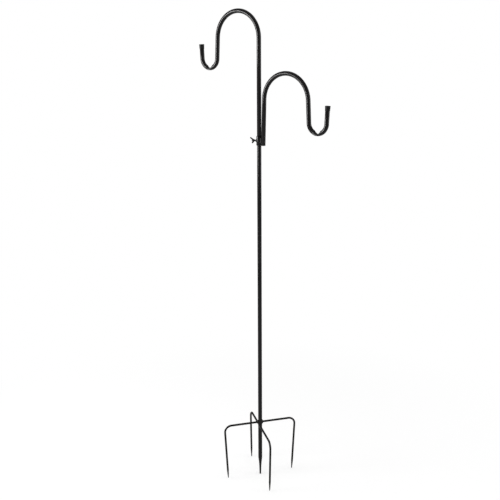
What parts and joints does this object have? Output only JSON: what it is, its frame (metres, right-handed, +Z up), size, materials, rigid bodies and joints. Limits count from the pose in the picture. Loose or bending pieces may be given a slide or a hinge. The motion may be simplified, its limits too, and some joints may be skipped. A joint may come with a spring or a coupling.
{
  "type": "hanging_plant_stand",
  "caption": "Free-standing garden pole with a fixed top hook and a second hook on a sliding, swivelling clamp, held in soil by bent prongs and a pointed stake",
  "frame": {"origin": "on the pole's axis at soil level, level with the underside of the lower prong rod", "axes": "+Z up the pole, +X towards the side hook as stored, -X towards the top hook, +Y to the back"},
  "size_m": [0.5753, 0.2376, 1.819],
  "materials": {
    "powder_coat": "satin",
    "black_vinyl": "matte",
    "knob_plastic": "satin",
    "blackened_steel": "satin",
    "zinc_steel": "satin"
  },
  "bodies": {
    "stand": {"stake_tube": "powder_coat", "stake_thread_insert": "zinc_steel", "upper_prong_rod": "powder_coat", "lower_prong_rod": "powder_coat", "upper_rod_weld_a": "powder_coat", "upper_rod_weld_b": "powder_coat", "lower_rod_weld_a": "powder_coat", "lower_rod_weld_b": "powder_coat", "lower_pole_tube": "powder_coat", "lower_thread_insert": "zinc_steel", "stake_thread_stud": "zinc_steel", "top_hook_tube": "powder_coat", "top_hook_cap": "black_vinyl", "upper_thread_stud": "zinc_steel"},
    "upper_pole": {"upper_pole_tube": "powder_coat", "upper_thread_insert": "zinc_steel", "lower_thread_stud": "zinc_steel"},
    "side_hook": {"side_hook_tube": "powder_coat", "side_hook_cap": "black_vinyl", "clamp_sleeve": "powder_coat", "clamp_boss": "powder_coat", "clamp_weld_front": "powder_coat", "clamp_weld_back": "powder_coat"},
    "clamp_screw": {"clamp_screw": "blackened_steel"},
    "wing_knob": {"wing_knob": "knob_plastic"}
  },
  "joints": [
    {"name": "side_hook_swivel", "type": "hinge", "parent": "stand", "child": "upper_pole", "pos_m": [0, 0, 0.921], "axis": [0, 0, 1], "range_deg": [-110, 110]},
    {"name": "side_hook_slide", "type": "slide", "parent": "upper_pole", "child": "side_hook", "axis": [0, 0, 1], "range_m": [-1.08, 0.34]},
    {"name": "clamp_screw_advance", "type": "slide", "parent": "side_hook", "child": "clamp_screw", "axis": [-1, 0, 0], "range_m": [0, 0.00375]},
    {"name": "wing_knob_turn", "type": "hinge", "parent": "clamp_screw", "child": "wing_knob", "pos_m": [-0.03, 0, 1.1475], "axis": [-1, 0, 0], "range_deg": [0, 1350]}
  ],
  "couplings": [
    {"joint": "wing_knob_turn", "follows": "clamp_screw_advance", "rad_per_m": 6283.2}
  ]
}
